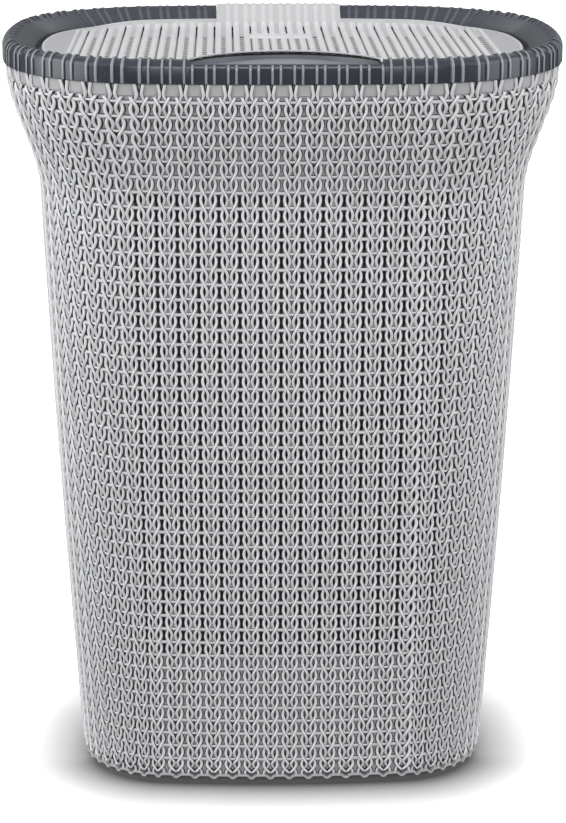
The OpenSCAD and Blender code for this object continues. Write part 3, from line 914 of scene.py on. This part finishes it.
def ridge(builder, tail, x0):
    """One broad rounded ridge beside a slot. It waves with the courses in the knit, and on the
    tongue it runs on over the barrel."""
    y_t, z_t, out_y, out_z = tongue_profile()
    on_tongue = abs(x0) < TONGUE_HALF - 2.6 * MM
    end = y_t[0] if on_tongue else float(lid_back(x0)) - BACK_BORDER
    y = ridge_rows(x0, end)
    wave = np.cos(2 * math.pi * (y - KNIT_END_Y) / COURSE) * (y < KNIT_END_Y)
    point, across, out = lid_path(x0 - np.sign(off_wale(x0)) * 0.4 * MM * wave, y)
    left = np.clip((y - y[0]) / (3 * MM), 0, 1)
    if abs(x0) < BADGE_X + LID_RIDGE_W:
        left *= np.clip(np.maximum(BADGE_Y[0] - y, y - BADGE_Y[1]) / MM, 0, 1)
    if on_tongue:
        more = slice(1, -7)
        m = len(y_t[more])
        point = np.vstack([point, points(x0, y_t[more], z_t[more])])
        across = np.broadcast_to([1.0, 0, 0], point.shape)
        out = np.vstack([out, points(0, out_y[more], out_z[more])])
        left = np.concatenate([left, np.clip((m - 1 - np.arange(m)) / 2, 0, 1)])
        wave = np.concatenate([wave, np.zeros(m)])
    else:
        left = np.minimum(left, np.clip((end - y) / (2 * MM), 0, 1))
    base = LID_RELIEF + 0.2 * MM
    rise = (base - (0.25 - 0.25 * wave) * MM) * np.maximum(left, 0.02)
    centre = point - out * base
    width = LID_RIDGE_W - 0.6 * MM * np.maximum(wave, 0)
    width = np.where(np.arange(len(width)) >= len(y), LID_RIDGE_W - 0.2 * MM, width)
    plate = len(y) + 1 if on_tongue else len(y)
    for target, part in ((builder, slice(0, plate)), (tail, slice(plate - 1, None))):
        if len(width[part]) > 1:
            shape = (values[None, part] for values in (centre, across, out, width, rise))
            rib(target, *shape, 0.6 * MM, facets=6, back=True)


def lid_ridges(builder, tail):
    """Two ridges beside every slot."""
    slots = lid_slots()
    for x0 in np.concatenate([slots - LID_RIDGE, slots + LID_RIDGE]):
        if abs(x0) < BORDER_X - 4 * MM:
            ridge(builder, tail, x0)


def lid_borders(builder):
    """The raised line along each side of the knit."""
    for x in (-BORDER_X, BORDER_X):
        edge = float(lid_front(x))
        y = np.linspace(edge + 3 * MM, -edge - 3 * MM, 40)
        point, across, out = lid_path(x, y)
        rib(builder, (point - out * 1.0 * MM)[None], across[None], out[None], 1.9 * MM, 1.2 * MM, 0.9 * MM)


def lid_badge(builder):
    """The small blank plate between the knit and the ridges."""
    edge = np.array([0, 1, 2]) * BADGE_EDGE
    half, low_y, high_y = BADGE_X + 2 * MM, BADGE_Y[0] + BADGE_EDGE, BADGE_Y[1]
    x = np.concatenate([edge - half, half - edge[::-1]])
    y = np.concatenate([low_y + edge, high_y - edge[::-1]])
    drop = np.array([1.4, 1.0, 0.8, 0.8, 1.0, 1.4]) * MM
    grid_x, grid_y = np.meshgrid(x, y)
    top = points(grid_x, grid_y, lid_top(grid_y) - np.maximum(drop[None], drop[:, None]))[:, ::-1]
    shell(builder, top, top - [0, 0, MM], np.ones((5, 5), bool))


def lid_skirt(builder):
    """The wall under the lid's border that rests on the rim's ledge. It leaves out the grip."""
    angle = np.linspace(-math.pi / 2 + SKIRT_TURN, 1.5 * math.pi - SKIRT_TURN, 300)
    inner, outer = LID_INSET + 2.5 * MM, LID_INSET + 0.1 * MM
    rings = []
    for inset, on_ledge in ((outer, False), (inner, False), (inner, True), (outer, True)):
        x, y = plan(angle, inset)
        rings.append(points(x, y, LEDGE_Z + 0.3 * MM if on_ledge else lid_top(y) - 1.4 * MM))
    rings = np.array(rings)
    tongue = np.flatnonzero((np.abs(rings[0, :, 0]) < TONGUE_HALF) & (rings[0, :, 1] > 0))
    add_closed(builder, rings[:, :tongue[0]])
    add_closed(builder, rings[:, tongue[-1] + 1:])


def lid(raised, border, sunk, tongue_ridge_shade):
    """The lid's pieces: its plate, the sunk field, the relief on it and the tongue's ridges."""
    body, field, relief, tail = Builder(), Builder(), Builder(), Builder()
    lid_plate(body, field)
    lid_skirt(body)
    lid_tongue(field)
    lid_edge(relief)
    lid_ridges(relief, tail)
    lid_borders(relief)
    lid_badge(relief)
    # The plate round the knit takes a darker plastic as painted shade.
    plate = body.piece("lid_plate", [border], "lid")
    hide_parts("lid")
    # The sunk field with its valleys and the tongue take a darker plastic as painted shade.
    return [plate, field.piece("lid_field", [sunk], "lid"), relief.piece("lid_ridges", [raised], "lid"),
            tail.piece("lid_tongue_ridges", [tongue_ridge_shade], "lid")]


# ---- materials
FLOW_SCALE, GRAIN_SCALE, GRAIN, GLOSS_SPREAD, TINT_SPREAD = 38, 2600, 0.25, 0.06, 0.07


def new_material(name):
    """A material with its nodes, its links and its shader."""
    mat = bpy.data.materials.new(name)
    mat.use_nodes = True
    nodes = mat.node_tree.nodes
    return mat, nodes, mat.node_tree.links, nodes["Principled BSDF"]


def noise(nodes, links, scale, detail):
    """A noise fixed to the object."""
    place = nodes.new("ShaderNodeTexCoord")
    texture = nodes.new("ShaderNodeTexNoise")
    texture.inputs["Scale"].default_value = scale
    texture.inputs["Detail"].default_value = detail
    links.new(place.outputs["Object"], texture.inputs["Vector"])
    return texture.outputs["Fac"]


def moulded_plastic(name, colour, roughness, specular=0.5):
    """Moulded plastic with a fine grain and faint flow variation in its colour and gloss."""
    mat, nodes, links, shader = new_material(name)
    shader.inputs["IOR"].default_value = 1.49
    shader.inputs["Specular IOR Level"].default_value = specular
    flow = noise(nodes, links, FLOW_SCALE, 4)
    gloss = nodes.new("ShaderNodeMapRange")
    gloss.inputs["To Min"].default_value = roughness - GLOSS_SPREAD
    gloss.inputs["To Max"].default_value = roughness + GLOSS_SPREAD
    links.new(flow, gloss.inputs["Value"])
    links.new(gloss.outputs["Result"], shader.inputs["Roughness"])
    tint = nodes.new("ShaderNodeMix")
    tint.data_type = "RGBA"
    for socket, share in (("A", 1 - TINT_SPREAD), ("B", 1 + TINT_SPREAD)):
        tint.inputs[socket].default_value = (*(share * c for c in colour), 1)
    links.new(flow, tint.inputs["Factor"])
    links.new(tint.outputs["Result"], shader.inputs["Base Color"])
    bump = nodes.new("ShaderNodeBump")
    bump.inputs["Strength"].default_value = GRAIN
    bump.inputs["Distance"].default_value = 0.05 * MM
    links.new(noise(nodes, links, GRAIN_SCALE, 2), bump.inputs["Height"])
    links.new(bump.outputs["Normal"], shader.inputs["Normal"])
    return mat


def pale_floor():
    """A pale floor, a little darker close to the base as a painted soft shadow and lighter further
    away with a painted glow, like a lit sweep.
    """
    mat, nodes, links, shader = new_material("pale_floor")
    shader.inputs["Roughness"].default_value = 0.8
    shader.inputs["Emission Color"].default_value = (1, 1, 1, 1)
    for name, output, socket in (("shade", "Color", "Base Color"), ("glow", "Fac", "Emission Strength")):
        source = nodes.new("ShaderNodeAttribute")
        source.attribute_name = name
        links.new(source.outputs[output], shader.inputs[socket])
    return mat


# ---- stage, light and camera
# The floor's rings: distance from the base's outline, and painted shade on the side of the painted soft
# shadow
REACH = np.array([-60, -6, 0, 8, 20, 30, 40, 60, 80, 110, 160, 400, 900, 1800, 30000, 60000]) * MM
PALE = 0.9
SHADE = np.array([0.15, 0.15, 0.18, 0.32, 0.52, 0.64, 0.72, 0.8, 0.85, *[PALE] * 7])
GLOW_LIMIT, SWEEP = 0.75, 16.0
KEY_POWER, LEFT_POWER, RIGHT_POWER, FRONT_POWER, WORLD_STRENGTH = 1100, 60, 42, 27, 0.28
CAMERA_PLACE, LENS, SHIFT = (-0.0473, -2.0865, 0.891), 112.86, 0.0019
HEADING, PITCH, ROLL = math.radians(1.3), math.radians(16.047), math.radians(0.1)


def floor():
    """Rings of the base's outline, growing into a wide floor that rises far away."""
    angle = np.linspace(0, 2 * math.pi, 240, endpoint=False)
    rings = [outline_ring(angle, FOOT_INSET - out, 0) for out in REACH]
    rings[-1][:, 2] = SWEEP
    quads = grid_faces(len(REACH), len(angle), closed=True)[:, ::-1]
    near = np.arange(len(angle))
    inner = np.stack([near, (near + 1) % len(angle), np.full_like(near, len(REACH) * len(angle))], -1)
    mesh = bpy.data.meshes.new("floor")
    mesh.from_pydata(np.vstack([*rings, [[0, 0, 0]]]).tolist(), [], quads.tolist() + inner.tolist())
    # Painted shadow, deepest at the front, and a painted glow that grows further out and towards the sides
    # and back
    front = 0.4 + 0.6 * ease(0.5 - 1.2 * np.sin(angle))
    shade = PALE - np.outer(PALE - SHADE, front)
    far = 0.6 * ease((REACH - 0.02) / 0.08) + 0.15 * ease((REACH - 0.25) / 1.8)
    glow = np.minimum(far[:, None] + 0.25 * (1 - front)[None], GLOW_LIMIT)
    for name, values in (("shade", shade), ("glow", glow)):
        spread = np.append(values.ravel(), values[0, 0])
        mesh.attributes.new(name, "FLOAT", "POINT").data.foreach_set("value", spread.astype(np.float32))
    mesh.materials.append(pale_floor())
    plane = bpy.data.objects.new("floor", mesh)
    bpy.context.scene.collection.objects.link(plane)
    plane.visible_diffuse = False
    plane.visible_glossy = False


def softbox(name, place, target, width, height, power):
    """A rectangular area light that the camera doesn't see."""
    light = bpy.data.lights.new(name, "AREA")
    light.shape = "RECTANGLE"
    light.size = width
    light.size_y = height
    light.energy = power
    lamp = bpy.data.objects.new(name, light)
    lamp.location = place
    lamp.visible_camera = False
    lamp.rotation_euler = (Vector(target) - Vector(place)).to_track_quat("-Z", "Y").to_euler()
    bpy.context.scene.collection.objects.link(lamp)


def lights():
    """A wide soft light overhead, one softbox on each side and a low one in front."""
    middle = (0, 0, RIM_TOP / 2)
    softbox("overhead", (0, 2.0, 6.0), (0, 2.0, 0), 24, 24, KEY_POWER)
    for name, side, power in (("left_box", -1, LEFT_POWER), ("right_box", 1, RIGHT_POWER)):
        softbox(name, (side * 2.6, -0.6, 1.1), middle, 2.4, 2.4, power)
    softbox("front_box", (0, -2.3, 1.35), middle, 1.8, 0.6, FRONT_POWER)
    bpy.context.scene.world = bpy.data.worlds.new("studio")
    bpy.context.scene.world.use_nodes = True
    sky = bpy.context.scene.world.node_tree.nodes["Background"].inputs
    sky["Color"].default_value = (1, 1, 1, 1)
    sky["Strength"].default_value = WORLD_STRENGTH


def camera():
    """The camera looks down at the front from a little left of the hamper's middle."""
    data = bpy.data.cameras.new("camera")
    data.sensor_width = 36
    data.lens = LENS
    data.shift_x = SHIFT
    data.clip_end = 60
    cam = bpy.data.objects.new("camera", data)
    level = math.cos(PITCH)
    look = Vector((math.sin(HEADING) * level, math.cos(HEADING) * level, -math.sin(PITCH)))
    turn = look.to_track_quat("-Z", "Y").to_matrix().to_4x4()
    cam.matrix_world = Matrix.Translation(CAMERA_PLACE) @ turn @ Matrix.Rotation(ROLL, 4, "Z")
    bpy.context.scene.collection.objects.link(cam)
    bpy.context.scene.camera = cam


# Colour, roughness and, where it isn't 0.5, specular level of each plastic
LOOKS = {
    "light": ((0.61, 0.615, 0.63), 0.42),
    # painted shade on the lid's plate round the knit
    "border": ((0.41, 0.415, 0.43), 0.42),
    # painted shade on the ridges over the lid's tongue
    "tongue": ((0.52, 0.525, 0.54), 0.42),
    # painted shade on the lid's sunk field and tongue
    "field_shade": ((0.46, 0.46, 0.47), 0.55),
    # painted shade on the wall behind the knit, darker than the strands
    "recess_shade": ((0.36, 0.36, 0.37), 0.6),
    # painted shade on the zigzag cord along the knit's lower edge
    "edge": ((0.33, 0.335, 0.345), 0.5),
    # painted shade on the foot ring, the tub's floor and the shelf under the rim
    "foot": ((0.12, 0.12, 0.125), 0.6),
    # painted shade on the sides of the knit's strands and bars
    "knit_side_shade": ((0.035, 0.035, 0.038), 0.7),
    "dark": ((0.018, 0.023, 0.036), 0.26, 0.6),
    # painted highlight on the crests of the rim's outer ribs
    "crest": ((0.22, 0.23, 0.25), 0.25, 0.6),
    # fainter painted highlight on the rim's top and inner ribs
    "band_highlight": ((0.07, 0.078, 0.095), 0.35),
    # painted light in the grip's hollow
    "hollow": ((0.26, 0.27, 0.305), 0.4),
}
PLASTIC = {name: moulded_plastic(f"{name}_plastic", *look) for name, look in LOOKS.items()}

camera()
for part in knit_tub([PLASTIC["light"], PLASTIC["knit_side_shade"], PLASTIC["edge"]]):
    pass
# The wall behind the knit takes a darker plastic as painted shade in the recesses.
knit_wall(PLASTIC["recess_shade"])
# The foot ring, the tub's floor and the shelf take a dark plastic as painted shade.
BASE = tub_base(PLASTIC["foot"])
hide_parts("tub")
rim_ring([PLASTIC[name] for name in ("dark", "crest", "band_highlight", "hollow")])
# The tongue's ridges take a darker plastic as painted shade.
for part in lid(PLASTIC["light"], PLASTIC["border"], PLASTIC["field_shade"], PLASTIC["tongue"]):
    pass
for pin in ("hinge_pin_left", "hinge_pin_right"):
    for place in frame["nodes"][pin].material_slots:
        place.material = PLASTIC["light"]
floor()
lights()
bpy.context.scene.view_settings.view_transform = "Standard"
